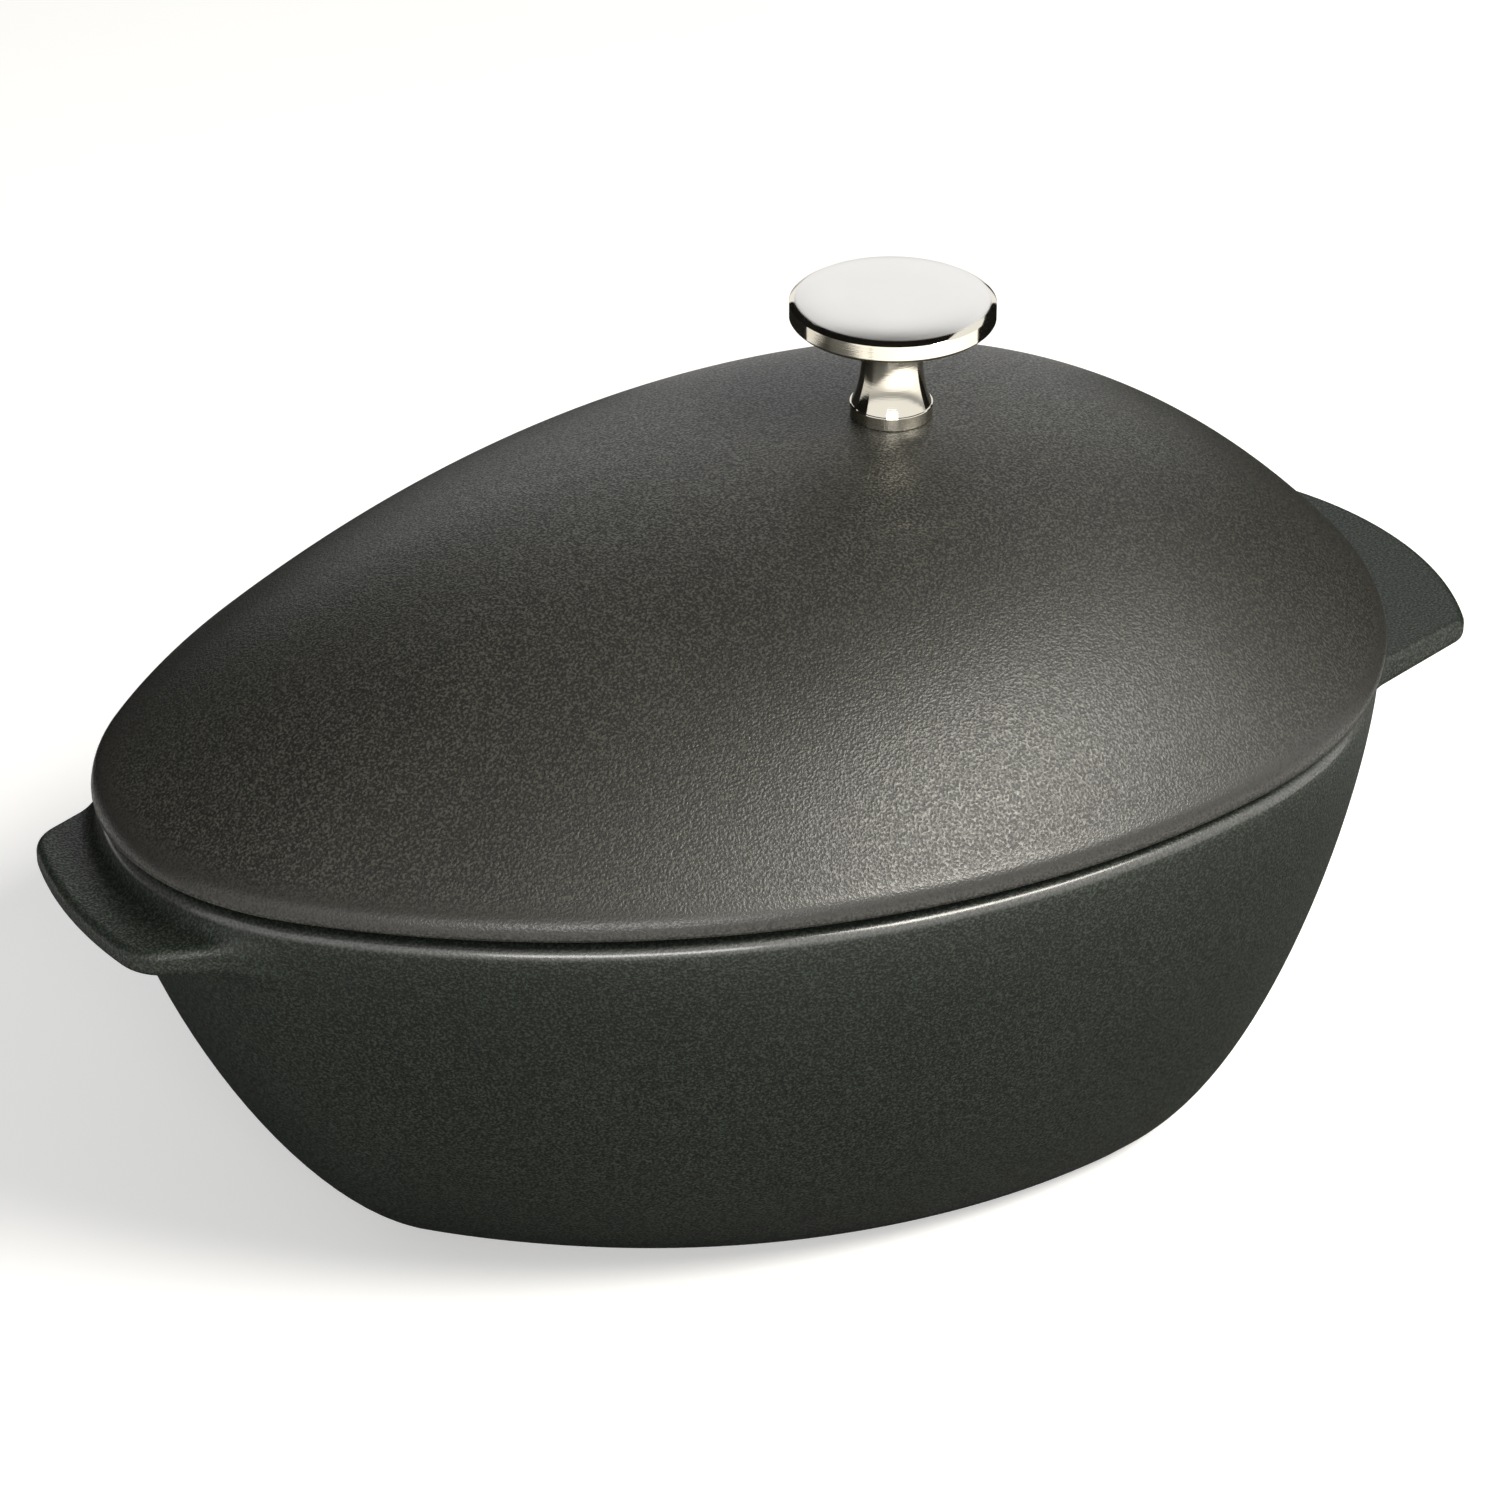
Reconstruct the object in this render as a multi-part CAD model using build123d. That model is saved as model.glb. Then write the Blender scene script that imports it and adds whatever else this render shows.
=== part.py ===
from build123d import *
import os
from math import atan2, ceil, cos, hypot, sin, sqrt
from typing import NamedTuple

# Cast-iron mussel pot with a domed lid. The pot is an egg in plan, fuller at the +X end, and
# its two slab handles are cast in one with the wall. The lid carries a turned metal knob, held
# from below by a screw and two washers. A perforated strainer stands on four legs inside.
# Frame: millimetres, Z up, origin on the table, midway between the tips of the two handles.

# Pot casting: outline of the rim and of the base, and heights. An outline's nose, at the full end,
# has for radius its half width less the easing.
RIM_LENGTH = 250.0
RIM_HALF_WIDTH = 89.2
RIM_NOSE_EASING = 2.6
RIM_TAIL_RADIUS = 52.0
BASE_LENGTH = 166.0
BASE_HALF_WIDTH = 49.8
BASE_NOSE_EASING = 0.8
BASE_TAIL_RADIUS = 10.0
BASE_SHIFT = 11.3
POT_HEIGHT = 97.0
POT_WALL = 4.0
POT_FLOOR = 6.0
RIM_BAND = 3.0
RIM_ROUNDING = 1.7
WALL_BELLY_POWER = 1.42
WALL_FLARE_POWER = 1.46
FOOT_HEIGHT = 3.0
FOOT_STEP = 0.8
FOOT_ROUNDING = 0.7

# Handles, cast with the pot: the one at the full end reaches further
FULL_END_REACH = 24.3
NARROW_END_REACH = 9.6
FULL_END_HALF_WIDTH = 31.3
NARROW_END_HALF_WIDTH = 21.9
FULL_END_FLARE = 0.25
NARROW_END_FLARE = 0.39
HANDLE_TIP_RADIUS = 84.0
FULL_END_CORNER_RADIUS = 5.0
NARROW_END_CORNER_RADIUS = 9.0
FULL_END_DROP = 10.1
NARROW_END_DROP = 5.7
HANDLE_TIP_THICKNESS = 4.6
HANDLE_ROOT_THICKNESS = 6.6
HANDLE_ROOT_DEPTH = 20.0
HANDLE_ROUNDING = 1.6

# Lid casting
LID_SEAT_GAP = 0.3
LID_OVERHANG = 1.1
FLANGE_HEIGHT = 4.6
FLANGE_ROUNDING = 1.7
DOME_RISE = 42.7
DOME_POWER = 2.43
DOME_FULLNESS = 1.16
APEX_X = 31.4
LID_WALL = 4.0
SKIRT_DEPTH = 5.0
SKIRT_WALL = 3.0
SKIRT_CLEARANCE = 1.0

# Knob, turned from one bar: radii and heights above the lid
KNOB_COLLAR_RADIUS = 7.7
KNOB_COLLAR_HEIGHT = 2.7
KNOB_FOOT_RADIUS = 7.4
KNOB_WAIST_RADIUS = 5.7
KNOB_WAIST_HEIGHT = 12.0
KNOB_THROAT_RADIUS = 8.2
KNOB_DISC_RADIUS = 18.9
KNOB_DISC_UNDERSIDE = 19.0
KNOB_DISC_THICKNESS = 4.4
KNOB_UNDERSIDE_BEVEL = 0.7
KNOB_SHOULDER_BEVEL = 0.8
KNOB_CROWN = 1.1

# Screw and washers under the lid
SCREW_RADIUS = 3.0
SCREW_LENGTH = 18.0
SCREW_HEAD_RADIUS = 6.0
SCREW_HEAD_HEIGHT = 3.6
SCREW_HEAD_BEVEL = 1.2
SLOT_WIDTH = 1.6
SLOT_DEPTH = 1.8
THREAD_CLEARANCE = 0.05
HOLE_CLEARANCE = 0.4
PLAIN_WASHER_RADIUS = 8.0
PLAIN_WASHER_THICKNESS = 1.6
LOCK_WASHER_RADIUS = 5.9
LOCK_WASHER_THICKNESS = 1.6
LOCK_WASHER_SPLIT = 1.0
TAP_ALLOWANCE = 2.0

# Strainer, pressed from sheet
SHEET = 1.2
STRAINER_STAND = 17.0
STRAINER_LIP = 4.0
STRAINER_CLEARANCE = 1.5
STRAINER_SEAT_GAP = 0.2
STRAINER_LEG_WIDTH = 11.0
STRAINER_LEG_X = 40.0
STRAINER_LEG_Y = 20.0
STRAINER_HOLE_RADIUS = 4.0
STRAINER_HOLE_PITCH = 19.0
STRAINER_BORDER = 8.0
FINGER_SLOT_LENGTH = 26.0
FINGER_SLOT_WIDTH = 17.0
FINGER_SLOT_X = 62.0

# Where the bowl and the dome are sliced
WALL_SLICES = (0.0, 0.15, 0.32, 0.5, 0.68, 0.83, 0.94, 1.0)
DOME_SLICES = (1.0, 0.94, 0.85, 0.73, 0.58, 0.41, 0.24, 0.1)
OVERCUT = 1.0

RIM_CENTRE_X = (NARROW_END_REACH - FULL_END_REACH) / 2
KNOB_X = RIM_CENTRE_X + APEX_X


class Egg(NamedTuple):
    """An egg outline of four tangent arcs: a nose at +X, a tighter tail at -X and two long sides."""

    half_length: float
    half_width: float
    nose_radius: float
    tail_radius: float
    centre: float

    def grown(self, by):
        """The same outline moved outwards everywhere by a distance."""
        return Egg(*(size + by for size in self[:4]), self.centre)

    def towards(self, other, share):
        """An outline part of the way from this one to another."""
        return Egg(*(a + (b - a) * share for a, b in zip(self, other)))

    def arcs(self):
        """Centres (x, y) and radii of the nose, the upper side and the tail.

        The side's circle holds the nose and tail circles inside it and touches them, which makes
        its radius the root of a quadratic.
        """
        nose = self.centre + self.half_length - self.nose_radius
        tail = self.centre - self.half_length + self.tail_radius
        lean = (self.nose_radius - self.tail_radius) / (nose - tail)
        offset = (tail - nose - lean * (self.nose_radius + self.tail_radius)) / 2
        half_b = lean * offset + self.nose_radius - self.half_width
        c = offset**2 + self.half_width**2 - self.nose_radius**2
        radius = c / (sqrt(half_b**2 - c * lean**2) - half_b)
        side = (nose + offset + lean * radius, self.half_width - radius)
        return (nose, self.nose_radius), (side, radius), (tail, self.tail_radius)

    def joints(self):
        """Where the nose and the tail arcs meet the upper side arc."""
        (nose, nose_radius), ((side_x, side_y), radius), (tail, tail_radius) = self.arcs()
        return [
            (x + r * (x - side_x) / (radius - r), -r * side_y / (radius - r))
            for x, r in ((nose, nose_radius), (tail, tail_radius))
        ]

    def face(self, z):
        """The level face that the outline bounds at height z."""
        (nose_x, nose_y), (tail_x, tail_y) = self.joints()
        side_x = self.arcs()[1][0][0]
        front, back = self.centre + self.half_length, self.centre - self.half_length
        arcs = [
            ThreePointArc((nose_x, -nose_y), (front, 0), (nose_x, nose_y)),
            ThreePointArc((nose_x, nose_y), (side_x, self.half_width), (tail_x, tail_y)),
            ThreePointArc((tail_x, tail_y), (back, 0), (tail_x, -tail_y)),
            ThreePointArc((tail_x, -tail_y), (side_x, -self.half_width), (nose_x, -nose_y)),
        ]
        return Pos(0, 0, z) * Face(Wire(arcs))

    def slab(self, bottom, top):
        """The outline carried straight up from bottom to top."""
        return Solid.extrude(self.face(bottom), Vector(0, 0, top - bottom))

    def holds(self, x, y, margin):
        """Whether a point lies inside the outline by more than a margin."""
        (nose, nose_radius), ((side_x, side_y), radius), (tail, tail_radius) = self.arcs()
        nose_joint, tail_joint = self.joints()
        if x > nose_joint[0]:
            return hypot(x - nose, y) < nose_radius - margin
        if x < tail_joint[0]:
            return hypot(x - tail, y) < tail_radius - margin
        return hypot(x - side_x, abs(y) - side_y) < radius - margin


RIM = Egg(RIM_LENGTH / 2, RIM_HALF_WIDTH, RIM_HALF_WIDTH - RIM_NOSE_EASING, RIM_TAIL_RADIUS, RIM_CENTRE_X)
BASE = Egg(
    BASE_LENGTH / 2,
    BASE_HALF_WIDTH,
    BASE_HALF_WIDTH - BASE_NOSE_EASING,
    BASE_TAIL_RADIUS,
    RIM_CENTRE_X + BASE_SHIFT,
)
MOUTH = RIM.grown(-POT_WALL)
CAVITY_FLOOR = BASE.grown(-POT_WALL)
SKIRT = MOUTH.grown(-SKIRT_CLEARANCE)
HOLLOW = SKIRT.grown(-SKIRT_WALL)
DOME = RIM.grown(LID_OVERHANG)

LID_SEAT = POT_HEIGHT + LID_SEAT_GAP
DOME_FOOT = LID_SEAT + FLANGE_HEIGHT


def draw_in(depth):
    """Share of the way from rim to base outline at a share of the depth: 0 at the rim, 1 at the base."""
    return 1 - (1 - depth**WALL_BELLY_POWER) ** (1 / WALL_FLARE_POWER)


def bowl(upper, lower, bottom, top):
    """Smooth bowl between two outlines, steep under the rim and rounding in to the base."""
    return Solid.make_loft(
        [upper.towards(lower, draw_in(depth)).face(top - (top - bottom) * depth).outer_wire() for depth in WALL_SLICES]
    )


def cavity_outline(z):
    """Outline of the pot's inside at height z."""
    top = POT_HEIGHT - RIM_BAND
    return MOUTH.towards(CAVITY_FLOOR, draw_in((top - z) / (top - POT_FLOOR)))


def handle(end, reach, half_width, flare, corner_radius, drop):
    """Slab handle at one end (+1 or -1): a shallow arc at the tip, flared sides, a sloping underside."""
    tip = RIM.half_length + reach
    corner_x = tip - HANDLE_TIP_RADIUS + sqrt(HANDLE_TIP_RADIUS**2 - half_width**2)
    root_x = RIM.half_length - HANDLE_ROOT_DEPTH
    root_y = half_width + flare * (corner_x - root_x)
    outline = make_face(
        [
            Line((root_x, -root_y), (corner_x, -half_width)),
            ThreePointArc((corner_x, -half_width), (tip, 0), (corner_x, half_width)),
            Line((corner_x, half_width), (root_x, root_y)),
            Line((root_x, root_y), (root_x, -root_y)),
        ]
    )
    outline = fillet(outline.vertices().sort_by(Axis.X)[-2:], corner_radius)
    top = POT_HEIGHT - drop
    plan = Pos(0, 0, top - HANDLE_ROOT_THICKNESS) * extrude(outline, HANDLE_ROOT_THICKNESS)
    side = Plane.XZ * make_face(
        Polyline(
            (root_x, top),
            (tip, top),
            (tip, top - HANDLE_TIP_THICKNESS),
            (root_x, top - HANDLE_ROOT_THICKNESS),
            close=True,
        )
    )
    slab = plan & extrude(side, root_y, both=True)
    rims = [e for e in slab.edges() if e.center().X > root_x + OVERCUT and abs(e.tangent_at(0.5).Z) < 0.5]
    slab = fillet(rims, HANDLE_ROUNDING)
    turned = slab if end > 0 else mirror(slab, about=Plane.YZ)
    return Pos(RIM_CENTRE_X, 0, 0) * turned


def pot_body():
    """The pot casting: bowl, foot and both handles, hollowed from above."""
    band = POT_HEIGHT - RIM_BAND
    outside = Part() + bowl(RIM, BASE, FOOT_HEIGHT, band) + RIM.slab(band, POT_HEIGHT)
    foot = Part() + BASE.grown(FOOT_STEP).slab(0, FOOT_HEIGHT)
    ends = foot.edges().group_by(Axis.Z)
    foot = fillet([*ends[0], *ends[-1]], FOOT_ROUNDING)
    cavity = Part() + bowl(MOUTH, CAVITY_FLOOR, POT_FLOOR, band) + MOUTH.slab(band, POT_HEIGHT + OVERCUT)
    shell = outside - cavity
    lips = shell.edges().group_by(Axis.Z)[-1]
    shell = fillet(lips, RIM_ROUNDING)
    full_end = handle(
        1, FULL_END_REACH, FULL_END_HALF_WIDTH, FULL_END_FLARE, FULL_END_CORNER_RADIUS, FULL_END_DROP
    )
    narrow_end = handle(
        -1, NARROW_END_REACH, NARROW_END_HALF_WIDTH, NARROW_END_FLARE, NARROW_END_CORNER_RADIUS, NARROW_END_DROP
    )
    return shell + foot + (full_end + narrow_end - cavity)


def dome_height(share):
    """Height of the dome above its foot where share runs from 0 at the apex to 1 at the foot."""
    return DOME_RISE * (DOME_FULLNESS * (1 - share**DOME_POWER) + (1 - DOME_FULLNESS) * (1 - share**2))


def dome_slope(share):
    """Mean slope angle of the dome at a share, for setting its wall at a steady thickness."""
    fall = DOME_RISE * (
        DOME_FULLNESS * DOME_POWER * share ** (DOME_POWER - 1) + (1 - DOME_FULLNESS) * 2 * share
    )
    return atan2(fall, (DOME.half_length + DOME.half_width) / 2)


def dome_outline(share):
    """Outline of the dome at a share: the foot outline shrunk towards the apex."""
    apex = Egg(0, 0, 0, 0, KNOB_X)
    return apex.towards(DOME, share)


def dome(sunk):
    """Solid under the dome's surface, or under a surface sunk into it by a wall thickness."""
    slices = []
    for share in DOME_SLICES:
        angle = dome_slope(share)
        outline = dome_outline(share).grown(-sunk * sin(angle))
        slices.append(outline.face(DOME_FOOT + dome_height(share) - sunk * cos(angle)).outer_wire())
    return Solid.make_loft(slices)


LID_TOP = DOME_FOOT + dome_height(DOME_SLICES[-1])
LID_UNDERSIDE = LID_TOP - LID_WALL * cos(dome_slope(DOME_SLICES[-1]))


def lid():
    """The lid casting: dome, flange and locating skirt, hollow below, drilled for the screw."""
    flange = Part() + DOME.slab(LID_SEAT, DOME_FOOT)
    flange = fillet(flange.faces().sort_by(Axis.Z)[0].edges(), FLANGE_ROUNDING)
    skirt = SKIRT.slab(POT_HEIGHT - SKIRT_DEPTH, DOME_FOOT)
    hollow_foot = DOME_FOOT - LID_WALL * cos(dome_slope(DOME_SLICES[0]))
    mouth = HOLLOW.slab(POT_HEIGHT - SKIRT_DEPTH - OVERCUT, hollow_foot + OVERCUT)
    hollow = (Part() + dome(LID_WALL)) & HOLLOW.slab(hollow_foot, LID_TOP)
    casting = flange + dome(0) + skirt - mouth - hollow
    hole = Pos(KNOB_X, 0, LID_TOP) * Cylinder(SCREW_RADIUS + HOLE_CLEARANCE, 4 * LID_WALL)
    return casting - hole


def knob():
    """The knob: collar, waisted stem and a flat disc with a bevelled, slightly crowned top."""
    disc_top = KNOB_DISC_UNDERSIDE + KNOB_DISC_THICKNESS
    waist = (KNOB_WAIST_RADIUS, KNOB_WAIST_HEIGHT)
    profile = make_face(
        [
            Line((0, 0), (KNOB_COLLAR_RADIUS, 0)),
            Line((KNOB_COLLAR_RADIUS, 0), (KNOB_COLLAR_RADIUS, KNOB_COLLAR_HEIGHT)),
            Line((KNOB_COLLAR_RADIUS, KNOB_COLLAR_HEIGHT), (KNOB_FOOT_RADIUS, KNOB_COLLAR_HEIGHT)),
            TangentArc(waist, (KNOB_FOOT_RADIUS, KNOB_COLLAR_HEIGHT), tangent=(0, -1)),
            TangentArc(waist, (KNOB_THROAT_RADIUS, KNOB_DISC_UNDERSIDE), tangent=(0, 1)),
            Polyline(
                (KNOB_THROAT_RADIUS, KNOB_DISC_UNDERSIDE),
                (KNOB_DISC_RADIUS - KNOB_UNDERSIDE_BEVEL, KNOB_DISC_UNDERSIDE),
                (KNOB_DISC_RADIUS, KNOB_DISC_UNDERSIDE + KNOB_UNDERSIDE_BEVEL),
                (KNOB_DISC_RADIUS, disc_top - KNOB_SHOULDER_BEVEL),
                (KNOB_DISC_RADIUS - KNOB_SHOULDER_BEVEL, disc_top),
            ),
            TangentArc((0, disc_top + KNOB_CROWN), (KNOB_DISC_RADIUS - KNOB_SHOULDER_BEVEL, disc_top), tangent=(1, 0)),
            Line((0, disc_top + KNOB_CROWN), (0, 0)),
        ]
    )
    turned = revolve(Plane.XZ * profile, Axis.Z)
    grip = SCREW_LENGTH - LID_WALL - PLAIN_WASHER_THICKNESS - LOCK_WASHER_THICKNESS
    tapped = Cylinder(
        SCREW_RADIUS + THREAD_CLEARANCE,
        grip + TAP_ALLOWANCE,
        align=(Align.CENTER, Align.CENTER, Align.MIN),
    )
    return Pos(KNOB_X, 0, LID_TOP) * (turned - tapped)


def ring(radius, thickness, top):
    """Flat ring round the screw, hung below a height."""
    disc = Cylinder(radius, thickness, align=(Align.CENTER, Align.CENTER, Align.MAX))
    hole = Cylinder(SCREW_RADIUS + HOLE_CLEARANCE, 3 * thickness)
    return Pos(KNOB_X, 0, top) * (disc - hole)


def plain_washer():
    """Plain washer against the underside of the lid."""
    return ring(PLAIN_WASHER_RADIUS, PLAIN_WASHER_THICKNESS, LID_UNDERSIDE)


def lock_washer():
    """Split spring washer between the plain washer and the screw head."""
    top = LID_UNDERSIDE - PLAIN_WASHER_THICKNESS
    split = Pos(KNOB_X + LOCK_WASHER_RADIUS / 2, 0, top) * Rot(30, 0, 0)
    cut = Box(LOCK_WASHER_RADIUS, LOCK_WASHER_SPLIT, 4 * LOCK_WASHER_THICKNESS)
    return ring(LOCK_WASHER_RADIUS, LOCK_WASHER_THICKNESS, top) - split * cut


def knob_screw():
    """Slotted pan-head screw, put in from inside the lid."""
    seat = LID_UNDERSIDE - PLAIN_WASHER_THICKNESS - LOCK_WASHER_THICKNESS
    head = Cylinder(SCREW_HEAD_RADIUS, SCREW_HEAD_HEIGHT, align=(Align.CENTER, Align.CENTER, Align.MAX))
    head = chamfer(head.edges().sort_by(Axis.Z)[0], SCREW_HEAD_BEVEL)
    shank = Cylinder(SCREW_RADIUS, SCREW_LENGTH, align=(Align.CENTER, Align.CENTER, Align.MIN))
    slot = Pos(0, 0, -SCREW_HEAD_HEIGHT) * Box(3 * SCREW_HEAD_RADIUS, SLOT_WIDTH, 2 * SLOT_DEPTH)
    return Pos(KNOB_X, 0, seat) * (head + shank - slot)


def strainer_insert():
    """Perforated sheet with a turned-up lip, on four legs that stand on the pot's floor."""
    bottom = POT_FLOOR + STRAINER_STAND
    outline = cavity_outline(bottom).grown(-STRAINER_CLEARANCE)
    tray = Part() + outline.slab(bottom, bottom + STRAINER_LIP)
    tray -= outline.grown(-SHEET).slab(bottom + SHEET, bottom + STRAINER_LIP + OVERCUT)
    middle = outline.centre
    leg_height = STRAINER_STAND - STRAINER_SEAT_GAP
    leg = Box(STRAINER_LEG_WIDTH, SHEET, leg_height + SHEET / 2, align=(Align.CENTER, Align.CENTER, Align.MAX))
    corners = [(middle + x * STRAINER_LEG_X, y * STRAINER_LEG_Y) for x in (-1, 1) for y in (-1, 1)]
    for x, y in corners:
        tray += Pos(x, y, bottom + SHEET / 2) * leg
    slots = [Pos(middle + end * FINGER_SLOT_X, 0, bottom) for end in (-1, 1)]
    finger = extrude(SlotOverall(FINGER_SLOT_LENGTH, FINGER_SLOT_WIDTH, rotation=90), 3 * SHEET, both=True)
    for place in slots:
        tray -= place * finger
    holes = []
    row_pitch = STRAINER_HOLE_PITCH * sqrt(3) / 2
    rows = ceil(outline.half_width / row_pitch)
    columns = ceil(outline.half_length / STRAINER_HOLE_PITCH)
    for row in range(-rows, rows + 1):
        for column in range(-columns, columns + 1):
            x = middle + (column + (row % 2) / 2) * STRAINER_HOLE_PITCH
            y = row * row_pitch
            clear_of_legs = all(
                abs(x - cx) > STRAINER_LEG_WIDTH / 2 + STRAINER_HOLE_RADIUS + SHEET
                or abs(y - cy) > STRAINER_HOLE_RADIUS + 2 * SHEET
                for cx, cy in corners
            )
            clear_of_slots = all(
                abs(x - place.position.X) > FINGER_SLOT_WIDTH / 2 + STRAINER_HOLE_RADIUS + 2 * SHEET
                or abs(y) > FINGER_SLOT_LENGTH / 2 + STRAINER_HOLE_RADIUS + 2 * SHEET
                for place in slots
            )
            if outline.holds(x, y, STRAINER_BORDER) and clear_of_legs and clear_of_slots:
                holes.append(Pos(x, y, bottom) * Cylinder(STRAINER_HOLE_RADIUS, 4 * SHEET))
    return tray - holes


PIECES = {
    "pot_body": pot_body,
    "lid": lid,
    "knob": knob,
    "knob_screw": knob_screw,
    "plain_washer": plain_washer,
    "lock_washer": lock_washer,
    "strainer_insert": strainer_insert,
}

os.makedirs("parts", exist_ok=True)
for name, make in PIECES.items():
    export_step(make(), f"parts/{name}.step")
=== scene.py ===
"""Looks of an enamelled cast-iron mussel pot: pot, lid, knob, screw, washers and strainer."""

from math import pi, radians
from typing import NamedTuple

import bmesh
import bpy
import numpy as np
from bpy.props import FloatProperty, FloatVectorProperty, PointerProperty
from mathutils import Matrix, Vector


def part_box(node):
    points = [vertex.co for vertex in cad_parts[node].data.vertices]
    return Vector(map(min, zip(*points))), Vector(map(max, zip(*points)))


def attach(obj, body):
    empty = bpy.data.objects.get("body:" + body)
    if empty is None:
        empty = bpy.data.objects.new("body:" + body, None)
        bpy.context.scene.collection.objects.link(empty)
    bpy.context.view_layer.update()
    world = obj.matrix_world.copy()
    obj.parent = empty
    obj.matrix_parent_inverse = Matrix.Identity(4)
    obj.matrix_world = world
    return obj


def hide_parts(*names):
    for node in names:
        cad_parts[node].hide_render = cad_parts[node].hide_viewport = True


bl_info = {
    "name": "Mussel pot",
    "version": (1, 0, 0),
    "blender": (4, 5, 0),
    "location": "3D View > Sidebar > Mussel pot",
    "description": "Casts, turns and finishes the pieces of a mussel pot round its packed frame",
    "category": "Object",
}

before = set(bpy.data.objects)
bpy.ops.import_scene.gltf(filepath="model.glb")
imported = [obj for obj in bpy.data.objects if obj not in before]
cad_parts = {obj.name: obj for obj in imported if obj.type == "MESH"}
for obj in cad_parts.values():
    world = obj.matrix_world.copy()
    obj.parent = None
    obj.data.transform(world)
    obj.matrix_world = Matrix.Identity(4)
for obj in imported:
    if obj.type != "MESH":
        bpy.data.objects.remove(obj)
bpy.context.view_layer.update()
POT_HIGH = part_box("pot_body")[1]
KNOB_LOW, KNOB_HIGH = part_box("knob")
KNOB_X = (KNOB_LOW.x + KNOB_HIGH.x) / 2

POT_COLUMNS, LID_COLUMNS, KNOB_COLUMNS = 460, 320, 160
HANDLES_FROM = 0.073  # height from which the wall's rows carry the handles
LEVEL = 0.98  # a face whose normal rises this far, or falls, counts as level

MIDDLE = Vector((0.0, 0.0, 0.09))  # where lamps and cards face
# Name, place, width, height, power in watts, colour
LAMPS = (
    ("softbox_right", (0.33, -0.655, 0.881), 0.55, 0.35, 15.8, (1.0, 0.965, 0.875)),
    ("fill_front", (-0.50, -0.98, 0.52), 0.60, 0.30, 5.5, (1.0, 0.98, 0.94)),
)
# Name, place, width, height, grey
CARDS = (
    ("dark_card_left", (-0.60, 0.78, 0.50), 1.8, 1.1, 0.01),
    ("dark_card_overhead", (-0.18, 0.05, 1.20), 1.8, 2.0, 0.01),
    ("dark_card_right", (0.65, 0.12, 0.36), 0.5, 0.35, 0.01),
    ("dark_card_low_right", (0.27, 0.07, 0.07), 0.30, 0.16, 0.01),
    ("dark_card_low_left", (-0.04, 0.28, 0.06), 0.32, 0.12, 0.01),
    ("grey_card_under_pot", (0.0, 0.0, 0.0005), 0.50, 0.40, 0.10),
)


def length(name, description, default):
    """A setting in metres."""
    return FloatProperty(name=name, description=description, default=default, unit="LENGTH")


def bearing(name, description, degrees):
    """An angle, given in degrees."""
    return FloatProperty(
        name=name, description=description, default=radians(degrees), subtype="ANGLE"
    )


def amount(name, description, default, high=1.0):
    """A plain number from 0 up."""
    return FloatProperty(name=name, description=description, default=default, min=0, max=high)


def tint(name, description, default):
    """A linear colour."""
    return FloatVectorProperty(
        name=name, description=description, default=default, size=3, subtype="COLOR", min=0, max=1
    )


class PotSizes(bpy.types.PropertyGroup):
    """Sizes of the pot casting."""

    rim_centre: length("Rim centre", "Where the middle of the rim lies along the pot", -0.00735)
    rim_length: length("Rim length", "Length of the rim", 0.250)
    rim_half_width: length("Rim half width", "Half the width of the rim", 0.0892)
    rim_nose: length("Full end radius", "Radius of the rim at its full end", 0.0866)
    rim_tail: length("Narrow end radius", "Radius of the rim at its narrow end", 0.052)
    base_length: length("Base length", "Length of the bowl at its foot", 0.166)
    base_half_width: length("Base half width", "Half the width of the bowl at its foot", 0.0498)
    base_nose: length("Base full end radius", "Radius of the base at its full end", 0.049)
    base_tail: length("Base narrow end radius", "Radius of the base at its narrow end", 0.010)
    base_shift: length("Base shift", "How far the base lies towards the full end", 0.0113)
    wall: length("Wall", "Thickness of the wall", 0.004)
    floor: length("Floor", "Thickness of the floor", 0.006)
    band: length("Rim band", "Height of the upright band under the rim", 0.003)
    rim_rounding: length("Rim rounding", "Radius along the rim's outer edge", 0.0026)
    mouth_rounding: length("Mouth rounding", "Radius along the rim's inner edge", 0.0012)
    belly: amount("Belly", "Power of the wall's depth", 1.42, 4)
    flare: amount("Flare", "Power of the wall's drawing in", 1.46, 4)
    foot_height: length("Foot height", "Height of the foot", 0.0013)
    foot_step: length("Foot step", "How far the foot stands out", 0.0004)
    foot_rounding: length("Foot rounding", "Radius along the foot's edges", 0.0005)


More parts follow.
